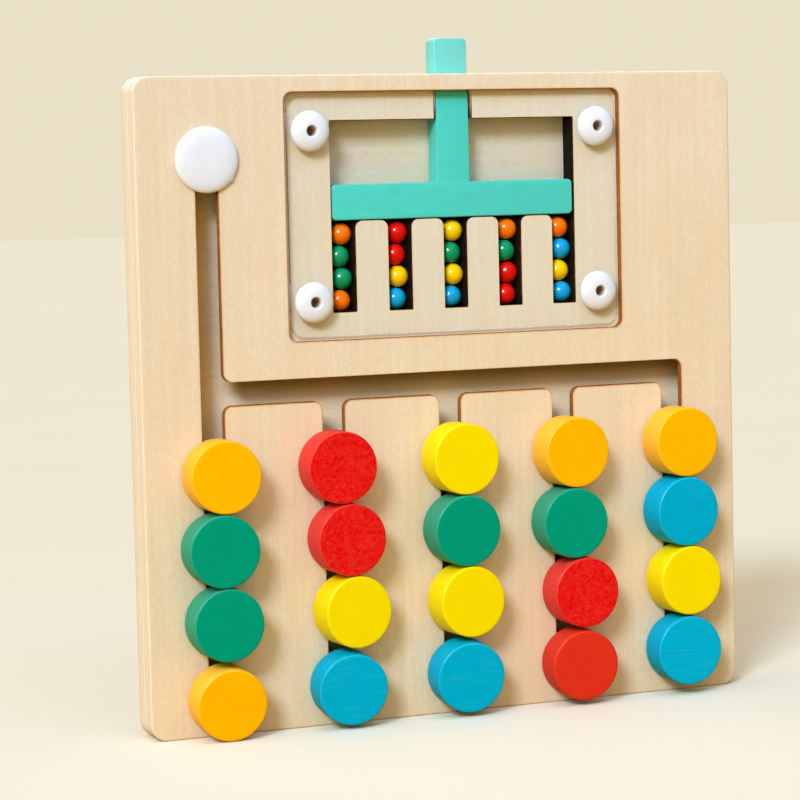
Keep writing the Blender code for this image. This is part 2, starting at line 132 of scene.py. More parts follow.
def mix(tree, factor, first, second, mode="MIX"):
    """Colour between two colours."""
    node = put(tree, "ShaderNodeMix", data_type="RGBA", blend_type=mode)
    for socket, value in zip((node.inputs[0], node.inputs[6], node.inputs[7]), (factor, first, second)):
        feed(tree, socket, value)
    return node.outputs[2]


def layered(tree, colour, *coats):
    """Tones laid over a colour in turn. Each coat is a mask, the share of it that covers, and a tone."""
    for mask, share, tone in coats:
        colour = mix(tree, times(tree, mask, share), colour, tone)
    return colour


def span(tree, value, low, high, to_low=0.0, to_high=1.0):
    """Carries a value from one range to another along a smooth step, and holds it at the ends."""
    inputs = {"Value": value, "From Min": low, "From Max": high, "To Min": to_low, "To Max": to_high}
    return put(tree, "ShaderNodeMapRange", inputs, interpolation_type="SMOOTHSTEP").outputs[0]


def coordinate(tree, point, letter):
    """One coordinate of a point."""
    return put(tree, "ShaderNodeSeparateXYZ", {0: point}).outputs[letter]


def noise(tree, point, stretch, scale, detail=3.0, roughness=0.55):
    """Noise on a point whose axes are stretched first."""
    drawn = put(tree, "ShaderNodeVectorMath", {0: point, 1: stretch}, operation="MULTIPLY").outputs[0]
    inputs = {"Vector": drawn, "Scale": scale, "Detail": detail, "Roughness": roughness}
    return put(tree, "ShaderNodeTexNoise", inputs).outputs["Fac"]

# %% Group and material helpers
def effect_group(name, inputs, outputs):
    """An empty node group with named sockets. Returns it, its given inputs and the node of its results."""
    group = bpy.data.node_groups.new(name, "ShaderNodeTree")
    for way, sockets in (("INPUT", inputs), ("OUTPUT", outputs)):
        for label, kind in sockets.items():
            group.interface.new_socket(label, in_out=way, socket_type="NodeSocket" + kind)
    return group, group.nodes.new("NodeGroupInput").outputs, group.nodes.new("NodeGroupOutput")


def place_group(tree, group, inputs):
    """Places a node group in a material and returns its outputs."""
    return put(tree, "ShaderNodeGroup", inputs, node_tree=group).outputs


def dress(tree, node, **values):
    """Feeds inputs of a shader or of a group's results. Their names have _ for a space here."""
    for label, value in values.items():
        feed(tree, node.inputs[label.replace("_", " ")], value)


def new_material(name, **constants):
    """A material whose shader has the given constant values. Returns it, its tree and the shader."""
    material = bpy.data.materials.new(name)
    material.use_nodes = True
    tree = material.node_tree
    shader = tree.nodes["Principled BSDF"]
    dress(tree, shader, **constants)
    return material, tree, shader


def object_point(tree, turn=(0.0, 0.0, 0.0)):
    """A point of the piece in its own coordinates, turned so that the pattern runs the right way."""
    place = put(tree, "ShaderNodeTexCoord").outputs["Object"]
    return put(tree, "ShaderNodeMapping", {"Vector": place, "Rotation": turn}).outputs[0]


def piece_value(tree, name):
    """A value that a piece carries at its own vertices."""
    return put(tree, "ShaderNodeAttribute", attribute_name=name).outputs["Fac"]


def bump(tree, shader, height, strength, distance):
    """Small relief of a surface."""
    inputs = {"Height": height, "Strength": strength, "Distance": distance}
    dress(tree, shader, Normal=put(tree, "ShaderNodeBump", inputs).outputs[0])

# %% [markdown]
# ## Light
# One large soft key light stands to the left, in front and high up, so the discs throw soft shadows to
# the right and down. It is a sun with a wide angle, because a sun doesn't fall off over the floor. A warm
# sky, brighter at the upper left, fills the shadows, and a bluish strip above the board cools its upper
# half. Another sun lights the back and skips the floor, which would show a second shadow. The last one
# only gives each bead its small highlight. The plain colour transform keeps the paints as bright as they
# are, and the camera sees an even backdrop in the floor's own tone.

# %% Light helper
def add_light(name, kind, source, strength, colour=EVEN):
    """A light that shines from a direction towards the opposite one."""
    light = add_object(name, bpy.data.lights.new(name, kind))
    light.data.energy = strength
    light.data.color = colour
    light.rotation_euler = source.to_track_quat("Z", "Y").to_euler()
    print(name, strength)
    return light

# %% Key light
KEY_FROM = Vector((-0.88, -1.00, 0.84))
KEY_STRENGTH = 2.60
KEY_ANGLE = math.radians(16)
KEY_COLOUR = (0.70, 0.84, 0.95)

bpy.context.scene.view_settings.view_transform = "Standard"
key = add_light("key_light", "SUN", KEY_FROM, KEY_STRENGTH, KEY_COLOUR)
key.data.angle = KEY_ANGLE

# %% Top light
TOP_PLACE = Vector((0.0, -0.14, 0.42))
TOP_AIM = Vector((0.0, 0.0, 0.20))
TOP_SIZE = (0.60, 0.08)
TOP_POWER = 0.41
TOP_COLOUR = (0.12, 0.42, 1.0)

top = add_light("top_light", "AREA", TOP_PLACE - TOP_AIM, TOP_POWER, TOP_COLOUR)
top.data.shape = "RECTANGLE"
top.data.size, top.data.size_y = TOP_SIZE
top.location = TOP_PLACE
top.visible_camera = False
top.visible_glossy = False

# %% Back light
BACK_FROM = Vector((0.40, 0.90, 0.35))
BACK_STRENGTH = 2.0
BACK_ANGLE = math.radians(35)
BACK_COLOUR = (0.94, 0.96, 1.0)

back_light = add_light("back_light", "SUN", BACK_FROM, BACK_STRENGTH, BACK_COLOUR)
back_light.data.angle = BACK_ANGLE
not_lit_from_behind = bpy.data.collections.new("not_lit_from_behind")
back_light.light_linking.receiver_collection = not_lit_from_behind

# %% Glint light
GLINT_FROM = Vector((-0.643, -0.617, 0.457))
GLINT_STRENGTH = 9.0
GLINT_ANGLE = math.radians(20)

glint = add_light("glint_light", "SUN", GLINT_FROM, GLINT_STRENGTH)
glint.data.angle = GLINT_ANGLE
glint.visible_diffuse = False
glint.visible_transmission = False
glossy_beads = bpy.data.collections.new("glossy_beads")
glint.light_linking.receiver_collection = glossy_beads

# %% Sky and backdrop
SKY_FROM = Vector((-0.50, -0.45, 0.75)).normalized()
SKY_COLOUR = (1.0, 0.87, 0.62)
SKY_FAR, SKY_NEAR = 0.12, 1.25
BACKDROP = (0.818, 0.748, 0.576)

world = bpy.data.worlds.new("studio")
bpy.context.scene.world = world
world.use_nodes = True
tree = world.node_tree
sky = tree.nodes["Background"]
way = put(tree, "ShaderNodeTexCoord").outputs["Generated"]
towards = put(tree, "ShaderNodeVectorMath", {0: way, 1: SKY_FROM}, operation="DOT_PRODUCT").outputs["Value"]
dress(tree, sky, Color=SKY_COLOUR, Strength=span(tree, towards, 0.0, 1.0, SKY_FAR, SKY_NEAR))
backdrop = put(tree, "ShaderNodeBackground", {"Color": BACKDROP, "Strength": 1.0})
seen = put(tree, "ShaderNodeLightPath").outputs["Is Camera Ray"]
shown = put(tree, "ShaderNodeMixShader", {0: seen, 1: sky.outputs[0], 2: backdrop.outputs[0]})
tree.links.new(shown.outputs[0], tree.nodes["World Output"].inputs["Surface"])
print("sky", SKY_FAR, "to", SKY_NEAR)

# %% [markdown]
# ## Effects that several finishes share
# Wood grain is noise drawn out along the fibres, at three widths: fibres, streaks and broad figure, with
# thin streaks of amber and short dark pores. Ply layers are stripes by depth, as the veneers of plywood
# show on a sawn edge. Laser burn runs from a light toast through brown to char, by how much of the
# cutting beam a place has had. Each is one node group, placed with its own values in every finish that
# needs it.

# %% Wood grain
FIBRE_SHARE, STREAK_SHARE = 0.65, 0.35

grain_group, given, result = effect_group(
    "wood grain",
    {"Point": "Vector"},
    {"Shade": "Float", "Figure": "Float", "Amber": "Float", "Pores": "Float"},
)
tree, point = grain_group, given["Point"]
fibres = noise(tree, point, (1.0, 1.0, 0.30), 1300.0, 4.0, 0.65)
streaks = noise(tree, point, (1.0, 1.0, 0.03), 420.0, 2.0)
figure = noise(tree, point, (1.0, 1.0, 0.35), 60.0, 3.0)
resin = noise(tree, point, (1.0, 1.0, 0.12), 260.0, 3.0, 0.6)
specks = noise(tree, point, (1.0, 1.0, 0.10), 2600.0, 1.0)
both = calc(tree, "ADD", times(tree, fibres, FIBRE_SHARE), times(tree, streaks, STREAK_SHARE))
dress(tree, result, Shade=span(tree, both, 0.38, 0.62), Figure=span(tree, figure, 0.35, 0.65))
dress(tree, result, Amber=span(tree, resin, 0.50, 0.72), Pores=span(tree, specks, 0.67, 0.76))
print(grain_group.name, len(grain_group.nodes), "nodes")

# %% Ply layers
RIPPLE_SHARE = 0.12

ply_group, given, result = effect_group(
    "ply layers",
    {"Point": "Vector", "Front": "Float", "Veneer": "Float"},
    {"Layer": "Float", "Line": "Float"},
)
tree, point = ply_group, given["Point"]
ripple = calc(tree, "SUBTRACT", noise(tree, point, (1.0, 0.0, 1.0), 60.0), 0.5)
behind_front = calc(tree, "SUBTRACT", coordinate(tree, point, "Y"), given["Front"])
inward = calc(tree, "DIVIDE", behind_front, given["Veneer"])
count = calc(tree, "ADD", inward, times(tree, ripple, RIPPLE_SHARE))
turn_about = calc(tree, "PINGPONG", calc(tree, "ADD", count, 0.5), 1.0)
ends = noise(tree, point, (1.0, 1.0, 0.5), 900.0, 2.0)
near_line = span(tree, calc(tree, "PINGPONG", count, 0.5), 0.03, 0.10, 1.0, 0.0)
line = times(tree, near_line, span(tree, ends, 0.30, 0.55, 0.35, 1.0))
dress(tree, result, Layer=span(tree, turn_about, 0.45, 0.55), Line=line)
print(ply_group.name, len(ply_group.nodes), "nodes")

# %% Laser burn
LIGHT_TOAST, DARK_TOAST, CHAR = (0.72, 0.33, 0.075), (0.30, 0.105, 0.026), (0.012, 0.008, 0.005)
RIB_SHARE, PATCH_SHARE = 0.5, 0.5
BEAM_LEAST, BEAM_SPREAD = 0.55, 0.9

burn_group, given, result = effect_group(
    "laser burn",
    {"Point": "Vector", "Burn": "Float"},
    {"Mask": "Float", "Color": "Color"},
)
tree, point = burn_group, given["Point"]
ribs = noise(tree, point, (1.0, 0.12, 1.0), 900.0, 3.0)
patches = noise(tree, point, EVEN, 120.0, 3.0)
uneven = calc(tree, "ADD", times(tree, ribs, RIB_SHARE), times(tree, patches, PATCH_SHARE))
beam = calc(tree, "ADD", BEAM_LEAST, times(tree, uneven, BEAM_SPREAD))
heat = times(tree, given["Burn"], beam)
toasted = mix(tree, span(tree, heat, 0.30, 0.75), LIGHT_TOAST, DARK_TOAST)
burnt = mix(tree, span(tree, heat, 0.85, 1.25), toasted, CHAR)
dress(tree, result, Mask=span(tree, heat, 0.05, 0.62), Color=burnt)
print(burn_group.name, len(burn_group.nodes), "nodes")

# %% [markdown]
# ## Plywood
# The board is three sheets of birch plywood, glued. Their faces are pale, with fine fibres that run up
# the front and middle sheets and across the back one. The outer edges are sanded and show the veneers,
# and the edges that the laser cut are brown to black. Each sheet's mesh carries two values: edge, which
# is 1 on a sawn wall and 0 on a face, and burn, which is how much the beam has browned it.
#
# The back sheet is the floor of the slots and of the ball chamber, and its colour there carries painted
# light and shade: near-black painted shade behind the balls that fades upwards, and brown painted shade at
# the left of the long slot and along the top of the cross channel. The floor of the slots and the channel
# is brightened as painted light, and the chamber's floor is painted bluer and brighter towards the top and
# less green towards the bottom. Boxes in the plane of the board say where each mark lies, and ramps soften
# its ends.

# %% Painted light and shade on the back sheet
FACE_REACH = 0.0002
# Painted light: the floor of the slots and the channel is brightened.
TRACK_PAINTED_LIGHT = (1.28, 1.20, 1.22)
CHAMBER_VIEW, CHAMBER_RAMP = (-0.0560, 0.0654, 0.1500, 0.2300), (0.2000, 0.2200)
# Painted light: the chamber's floor turns bluer and brighter towards the top and less green towards the
# bottom.
CHAMBER_LIGHT_LOW, CHAMBER_LIGHT_HIGH = (0.96, 0.88, 0.92), (1.07, 1.07, 1.22)
SLOT_FLOOR, SLOT_RAMP = (-0.1060, -0.0810, 0.0040, 0.2300), (-0.0940, -0.0880)
# Painted shade: brown at the left of the long slot and along the top of the cross channel.
SLOT_PAINTED_SHADE = (0.90, 0.75, 0.41)
CHANNEL_FLOOR, CHANNEL_PAINTED_SHADE = (-0.0880, 0.1060, 0.1150, 0.1300), (0.44, 0.34, 0.15)
CHANNEL_START, CHANNEL_RISE = (-0.0880, -0.0800), (0.1195, 0.1280)
# Painted shade: near black behind the balls, fading upwards.
BEHIND_BALLS, BALL_SLOT_SHADE = (-0.0560, 0.0654, 0.1500, 0.1990), (0.003, 0.0015, 0.001)
BALL_SHADE_RAMP = (BEHIND_BALLS[3] - 0.012, BEHIND_BALLS[3])


def inside_box(tree, point, box):
    """1 inside a box of left, right, bottom and top in the plane of the board, 0 outside it."""
    left, right, bottom, top = box
    across = calc(tree, "COMPARE", coordinate(tree, point, "X"), (left + right) / 2, (right - left) / 2)
    up = calc(tree, "COMPARE", coordinate(tree, point, "Z"), (bottom + top) / 2, (top - bottom) / 2)
    return times(tree, across, up)


def floor_painted_light(tree, wood, point, front):
    """Painted light and shade on the face at depth front, each inside its box, laid over the wood in turn:
    a brighter floor in the track, the chamber's floor tinted by height, brown shade in the long slot and
    the channel, and near-black shade behind the balls.
    """
    floor = calc(tree, "COMPARE", coordinate(tree, point, "Y"), front, FACE_REACH)
    across = coordinate(tree, point, "X")
    height = coordinate(tree, point, "Z")
    chamber = inside_box(tree, point, CHAMBER_VIEW)
    track = calc(tree, "MAXIMUM", calc(tree, "SUBTRACT", floor, chamber), 0.0)
    chamber_painted_light = mix(tree, span(tree, height, *CHAMBER_RAMP), CHAMBER_LIGHT_LOW, CHAMBER_LIGHT_HIGH)
    slot = times(tree, inside_box(tree, point, SLOT_FLOOR), span(tree, across, *SLOT_RAMP, 1.0, 0.0))
    channel = times(
        tree,
        inside_box(tree, point, CHANNEL_FLOOR),
        span(tree, across, *CHANNEL_START),
        span(tree, height, *CHANNEL_RISE),
    )
    # Painted light brightens the track's floor; the chamber gets painted light, the slot and the channel
    # painted shade.
    wood = mix(tree, track, wood, TRACK_PAINTED_LIGHT, "MULTIPLY")
    for place, tint in ((chamber, chamber_painted_light), (slot, SLOT_PAINTED_SHADE), (channel, CHANNEL_PAINTED_SHADE)):
        wood = mix(tree, times(tree, floor, place), wood, tint, "MULTIPLY")
    # Near-black painted shade behind the balls.
    ball_shade = times(tree, inside_box(tree, point, BEHIND_BALLS), span(tree, height, *BALL_SHADE_RAMP, 1.0, 0.0))
    return mix(tree, times(tree, floor, ball_shade), wood, BALL_SLOT_SHADE)

# %% Plywood finish
EDGE_CREAM, EDGE_TAN, GLUE_BROWN = (0.94, 0.83, 0.71), (0.90, 0.78, 0.64), (0.50, 0.28, 0.11)
AMBER_WOOD = (0.80, 0.590, 0.370)
FIGURE_SHARE, SHADE_SHARE, AMBER_SHARE, PORE_SHARE = 0.60, 0.66, 0.40, 0.22
END_GRAIN_SHARE, GLUE_SHARE = 0.20, 0.60
WOOD_ROUGHNESS, FIBRE_ROUGHNESS, BURN_ROUGHNESS = 0.48, 0.14, 0.25
PORE_DEPTH = 0.8
WOOD_BUMP, WOOD_RELIEF = 0.12, 0.0003
VENEER = 0.0030


def plywood(name, pale, deep, warm, node, turn, shine, painted_light=None):
    """Plywood: grain on the faces, veneers on the edges, burn over both, and a sheet's own painted light
    and shade.
    """
    material, tree, shader = new_material(name, Specular_IOR_Level=shine)
    upright = object_point(tree)
    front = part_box(node)[0].y
    grain = place_group(tree, grain_group, {"Point": object_point(tree, turn)})
    ply = place_group(tree, ply_group, {"Point": upright, "Front": front, "Veneer": VENEER})
    burn = place_group(tree, burn_group, {"Point": upright, "Burn": piece_value(tree, "burn")})
    face = layered(
        tree,
        pale,
        (grain["Figure"], FIGURE_SHARE, warm),
        (grain["Shade"], SHADE_SHARE, deep),
        (grain["Amber"], AMBER_SHARE, AMBER_WOOD),
        (grain["Pores"], PORE_SHARE, GLUE_BROWN),
    )
    edge = layered(
        tree,
        mix(tree, ply["Layer"], EDGE_CREAM, EDGE_TAN),
        (grain["Shade"], END_GRAIN_SHARE, EDGE_TAN),
        (ply["Line"], GLUE_SHARE, GLUE_BROWN),
    )
    wood = mix(tree, piece_value(tree, "edge"), face, edge)
    wood = mix(tree, burn["Mask"], wood, burn["Color"])
    if painted_light:
        wood = painted_light(tree, wood, upright, front)
    rough = calc(tree, "ADD", WOOD_ROUGHNESS, times(tree, grain["Shade"], FIBRE_ROUGHNESS))
    rough = calc(tree, "ADD", rough, times(tree, burn["Mask"], BURN_ROUGHNESS))
    dress(tree, shader, Base_Color=wood, Roughness=rough)
    relief = calc(tree, "SUBTRACT", grain["Shade"], times(tree, grain["Pores"], PORE_DEPTH))
    bump(tree, shader, relief, WOOD_BUMP, WOOD_RELIEF)
    return material

# %% Plywood of the three sheets
ALONG, ACROSS = (0.0, 0.0, 0.0), (0.0, math.pi / 2, 0.0)
SANDED_SHINE, RAW_SHINE = 0.12, 0.03

front_ply = plywood(
    "birch front",
    (0.825, 0.682, 0.518), (0.730, 0.568, 0.396), (0.805, 0.625, 0.436),
    "front_panel", ALONG, SANDED_SHINE,
)
middle_ply = plywood(
    "birch middle",
    (0.775, 0.685, 0.560), (0.705, 0.605, 0.480), (0.765, 0.660, 0.520),
    "middle_panel", ALONG, RAW_SHINE,
)
back_ply = plywood(
    "birch back",
    (0.76, 0.680, 0.520), (0.66, 0.570, 0.415), (0.73, 0.635, 0.470),
    "back_panel", ACROSS, RAW_SHINE, floor_painted_light,
)
print("plywood finishes", front_ply.name, middle_ply.name, back_ply.name)

# %% [markdown]
# ## Paint, plastic and acrylic
# The discs and the gate are wood under satin paint. It shows the wood's pores as deeper pits, most of all
# on the red discs, lets some fibres through, and is thin on the sides, which are lighter: thin paint, and a
# painted sheen as well. The rounded rim is rubbed to a slight polish. The gate's handle turns paler above
# the board's top edge, and one red disc has more orange in it. The balls are glossy beads, and the rivets
# and the plug are moulded in white plastic with a faint orange peel. The insides of the rivets' holes turn
# brown with depth: painted shade.
#
# The pane is clear acrylic. Light for shadows passes straight through it, so the balls behind it stay
# lit, apart from a strip along the back of its wall, which throws the thin shadow that marks its edge on
# the wood.

# %% Satin paint over wood
BARE_WOOD, BARE_SHARE = (1.0, 0.90, 0.66), 0.20
CLOUD_SHARE, PIT_SHARE, SPECK_SHARE, LINE_SHARE = 0.12, 0.55, 0.08, 0.40
LINE_HEIGHT = 0.5

paint_group, given, result = effect_group(
    "paint over wood",
    {
        "Point": "Vector", "Color": "Color", "Deep": "Color",
        "Side": "Float", "Mottle": "Float", "Streak": "Float",
    },
    {"Color": "Color", "Roughness": "Float", "Height": "Float"},
)
tree, point = paint_group, given["Point"]
cloudy = noise(tree, point, EVEN, 160.0, 3.0)
pitted = noise(tree, point, EVEN, 800.0, 4.0, 0.70)
drawn = noise(tree, point, (0.05, 1.0, 1.0), 1100.0, 3.0, 0.6)
bare = mix(tree, BARE_SHARE, given["Color"], BARE_WOOD)
pits = times(tree, span(tree, pitted, 0.46, 0.66), given["Mottle"])
specks = times(tree, span(tree, pitted, 0.44, 0.30), given["Mottle"])
lines = times(tree, span(tree, drawn, 0.52, 0.70), given["Streak"])
coat = layered(
    tree,
    given["Color"],
    (span(tree, cloudy, 0.3, 0.7), CLOUD_SHARE, given["Deep"]),
    (pits, PIT_SHARE, given["Deep"]),
    (specks, SPECK_SHARE, bare),
    (lines, LINE_SHARE, bare),
)
# The sides turn towards bare wood: thin paint, and a painted sheen as well.
thin_and_sheen = times(tree, given["Side"], span(tree, drawn, 0.35, 0.65, 0.48, 0.62))
height = calc(tree, "SUBTRACT", times(tree, drawn, LINE_HEIGHT), pits)
dress(tree, result, Color=mix(tree, thin_and_sheen, coat, bare), Height=height)
dress(tree, result, Roughness=span(tree, pitted, 0.30, 0.70, 0.36, 0.48))
print(paint_group.name, len(paint_group.nodes), "nodes")

# %% Satin finish
DEEPER = 0.65
PALER_SHARE, PALER_TONE = 0.11, (1.0, 1.0, 1.0)
RIM_ROUGHNESS, RIM_POLISH = 0.32, 4.0
SATIN_SHINE = 0.015
PAINT_BUMP, PAINT_RELIEF = 0.08, 0.0002


def satin_paint(name, colour, mottle, streak, worn_and_sheen, deep=None, paler_between=None):
    """Satin paint of one colour. Mottle lets the wood's pores through in a deeper colour and streak its
    fibres. The next share lightens the sides towards bare wood: thin paint, and a painted sheen as well.
    Between two heights the paint may turn paler. The rim, where side is neither 0 nor 1, is polished by
    side times (1 - side)."""
    material, tree, shader = new_material(name)
    dress(tree, shader, Specular_IOR_Level=SATIN_SHINE, Coat_Roughness=RIM_ROUGHNESS)
    deep = deep or tuple(DEEPER * part for part in colour)
    point = object_point(tree)
    side = piece_value(tree, "side")
    inputs = {"Point": point, "Color": colour, "Deep": deep, "Mottle": mottle, "Streak": streak}
    paint = place_group(tree, paint_group, {**inputs, "Side": times(tree, side, worn_and_sheen)})
    coat = paint["Color"]
    if paler_between:
        coat = mix(tree, span(tree, coordinate(tree, point, "Z"), *paler_between, 0.0, PALER_SHARE), coat, PALER_TONE)
    polish = times(tree, side, calc(tree, "SUBTRACT", 1.0, side), RIM_POLISH)
    dress(tree, shader, Base_Color=coat, Roughness=paint["Roughness"], Coat_Weight=polish)
    bump(tree, shader, paint["Height"], PAINT_BUMP, PAINT_RELIEF)
    return material

# %% Paint colours
DISC_COLOURS = {
    "amber": ((0.98, 0.480, 0.000), 0.08, 0.05, 0.60),
    "green": ((0.000, 0.310, 0.194), 0.10, 0.03, 0.40),
    "red": ((0.757, 0.0150, 0.0125), 2.00, 0.10, 0.42, (0.72, 0.0, 0.001)),
    "yellow": ((0.93, 0.730, 0.000), 0.06, 0.10, 0.05),
    "blue": ((0.000, 0.407, 0.680), 0.12, 0.10, 0.00),
    "orange red": ((0.71, 0.030, 0.0115), 0.20, 0.10, 0.12),
}
# The handle's paint turns paler between these heights, from the window's top to just above the board.
HANDLE_PALER = (0.2338, 0.2410)

disc_paint = {label: satin_paint(label + " disc paint", *looks) for label, looks in DISC_COLOURS.items()}
odd_paint = {"c4_r1": disc_paint["orange red"]}
gate_paint = satin_paint("mint gate paint", (0.080, 0.62, 0.56), 0.15, 0.35, 0.30, paler_between=HANDLE_PALER)
print("satin paints", len(disc_paint) + 1)

# %% Gloss and moulded plastic
SHADE_OF_SKIN = 0.03
SKIN_RELIEF = 0.0002

skin_group, given, result = effect_group(
    "moulded skin",
    {"Point": "Vector", "Color": "Color"},
    {"Color": "Color", "Roughness": "Float", "Height": "Float"},
)
tree, point = skin_group, given["Point"]
cloudy = noise(tree, point, EVEN, 220.0, 2.0)
shade = mix(tree, SHADE_OF_SKIN, given["Color"], (0.0, 0.0, 0.0))
colour = mix(tree, span(tree, cloudy, 0.35, 0.7), given["Color"], shade)
rough = span(tree, cloudy, 0.3, 0.7, 0.0, 0.08)
dress(tree, result, Color=colour, Roughness=rough, Height=noise(tree, point, EVEN, 2600.0, 2.0))


def moulded(name, colour, roughness, peel, hole_shade=None, **constants):
    """A smooth skin with a faint orange peel: gloss paint, or plastic whose holes darken with painted
    shade.
    """
    material, tree, shader = new_material(name, **constants)
    skin = place_group(tree, skin_group, {"Point": object_point(tree), "Color": colour})
    coat = skin["Color"]
    # Holes darken towards this colour with depth: painted shade.
    if hole_shade:
        coat = mix(tree, piece_value(tree, "hole"), coat, hole_shade)
    dress(tree, shader, Base_Color=coat, Roughness=calc(tree, "ADD", skin["Roughness"], roughness))
    bump(tree, shader, skin["Height"], peel, SKIN_RELIEF)
    return material


print(skin_group.name, len(skin_group.nodes), "nodes")

# %% Gloss and plastic colours
BALL_COLOURS = {
    "amber": (1.00, 0.17, 0.001),
    "green": (0.000, 0.29, 0.117),
    "red": (0.74, 0.002, 0.001),
    "yellow": (0.97, 0.59, 0.000),
    "blue": (0.000, 0.345, 0.73),
}
BALL_ROUGHNESS, WHITE_ROUGHNESS, DARK_ROUGHNESS = 0.15, 0.26, 0.42
FAINT_PEEL, COARSE_PEEL = 0.02, 0.10
BALL_SHINE = 0.20
# The second colour is painted shade for the insides of the rivets' holes.
WHITE, HOLE_PAINTED_SHADE, DARK = (0.805, 0.82, 0.905), (0.50, 0.37, 0.26), (0.020, 0.018, 0.016)

ball_gloss = {
    label: moulded(label + " ball gloss", colour, BALL_ROUGHNESS, FAINT_PEEL, Specular_IOR_Level=BALL_SHINE)
    for label, colour in BALL_COLOURS.items()
}
white_plastic = moulded("white plastic", WHITE, WHITE_ROUGHNESS, FAINT_PEEL, HOLE_PAINTED_SHADE)
# The runners' near-black plastic also paints the deep shade between the discs.
dark_plastic_and_shade = moulded("dark runner plastic and shade", DARK, DARK_ROUGHNESS, COARSE_PEEL)
print("gloss and plastic", len(ball_gloss) + 2)

# %% Clear acrylic
ACRYLIC_IOR = 1.49
MIRROR_TINT = (0.05, 0.05, 0.05)
CLEAN, SMEARED, RIM_SHADE = (0.985, 0.995, 0.985), (0.965, 0.98, 0.965), (0.20, 0.17, 0.13)
RIM_SHADE_SHARE, RIM_CLEARNESS, STRIP_SHADOW = 0.70, 0.25, 0.85

acrylic, tree, shader = new_material(
    "clear acrylic", Transmission_Weight=1.0, IOR=ACRYLIC_IOR, Specular_Tint=MIRROR_TINT
)
smear = noise(tree, object_point(tree), EVEN, 90.0, 3.0)
rim = piece_value(tree, "edge")
tint = mix(tree, span(tree, smear, 0.3, 0.7), CLEAN, SMEARED)
# The pane's walls are tinted dark: painted shade along its edges.
tint = layered(tree, tint, (rim, RIM_SHADE_SHARE, RIM_SHADE))
dress(tree, shader, Base_Color=tint, Roughness=span(tree, smear, 0.4, 0.8, 0.005, 0.03))
ray = put(tree, "ShaderNodeLightPath").outputs
mirrored = times(tree, ray["Is Glossy Ray"], ray["Is Reflection Ray"])
bounced = calc(tree, "MAXIMUM", ray["Is Diffuse Ray"], mirrored)
unseen = calc(tree, "MAXIMUM", ray["Is Shadow Ray"], bounced)
solid = calc(tree, "SUBTRACT", 1.0, times(tree, rim, RIM_CLEARNESS))
clear = times(tree, solid, calc(tree, "SUBTRACT", 1.0, unseen))
shaded = times(tree, ray["Is Shadow Ray"], piece_value(tree, "burn"), STRIP_SHADOW)
dress(tree, shader, Alpha=calc(tree, "ADD", clear, shaded))
print("materials", len(bpy.data.materials))

# %% [markdown]
# ## Surfaces from formulas
# Three ways give every piece. A rounded path is an outline in the plane of the board whose corners are
# arcs. A sheet is a wall profile carried along such outlines, closed by flat faces. A turned piece is a
# profile carried round an axis. Outlines are kept as complex numbers, x + iz, because turning and
# offsetting are then one multiplication.

# %% Outlines
def rounded_rows(corners, steps=10):
    """Arcs at the (x, z, radius) corners of a closed outline, one row of points for each corner.

    An arc's centre lies on the corner's bisector, radius / sin(half the corner's angle) from the
    corner. Its points turn about that centre in equal steps, by what is left of the half circle.
    """
    x, z, radius = np.array(corners, float).T
    here = x + 1j * z
    back = np.roll(here, 1) - here
    ahead = np.roll(here, -1) - here
    back /= abs(back)
    ahead /= abs(ahead)
    turn = np.angle(-ahead / back)
    half = (np.pi - abs(turn)) / 2
    bisector = (back + ahead) / abs(back + ahead)
    centre = here + bisector * radius / np.sin(half)
    start = here + back * radius / np.tan(half) - centre
    part = np.linspace(0, 1, steps + 1)
    return centre[:, None] + start[:, None] * np.exp(1j * turn[:, None] * part)


def rounded_path(corners, steps=10):
    """The arcs of rounded_rows as one closed outline."""
    return rounded_rows(corners, steps).ravel()


def box_corners(left, right, bottom, top, radius):
    """Corners of a rounded rectangle, anticlockwise."""
    return [(left, bottom, radius), (right, bottom, radius), (right, top, radius), (left, top, radius)]


def round_hole(x, z, radius, steps=48):
    """A circle, clockwise as the front is seen, so that the material lies on its left."""
    return x + 1j * z + radius * np.exp(-2j * np.pi * np.arange(steps) / steps)

# %% Mesh from arrays
SEAM = 2e-7
CREASE_ANGLE = math.radians(38)


def make_piece(name, points, faces, values, material, body, slot, *nodes):
    """Puts arrays into a mesh, closes its seams, turns its faces outwards and hangs it on a CAD body."""
    mesh = bpy.data.meshes.new(name)
    mesh.from_pydata(points.reshape(-1, 3), [], faces)
    for label, numbers in values.items():
        attribute = mesh.attributes.new(label, "FLOAT", "POINT")
        attribute.data.foreach_set("value", numbers.astype(np.float32).ravel())
    shape = bmesh.new()
    shape.from_mesh(mesh)
    bmesh.ops.remove_doubles(shape, verts=shape.verts, dist=SEAM)
    bmesh.ops.recalc_face_normals(shape, faces=shape.faces)
    shape.to_mesh(mesh)
    shape.free()
    mesh.shade_smooth()
    mesh.set_sharp_from_angle(angle=CREASE_ANGLE)
    mesh.materials.append(material)
    piece = add_object(name, mesh)
    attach(piece, body)
    if nodes:
        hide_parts(*nodes)
    return piece


def grid_faces(rows, columns, first=0):
    """Quads of a grid that is closed along its rows and open along its columns."""
    row = np.arange(rows)[:, None] * columns
    after = (np.arange(rows)[:, None] + 1) % rows * columns
    column = np.arange(columns - 1)[None, :]
    corners = (row + column, after + column, after + column + 1, row + column + 1)
    return (first + np.stack(np.broadcast_arrays(*corners), -1).reshape(-1, 4)).tolist()

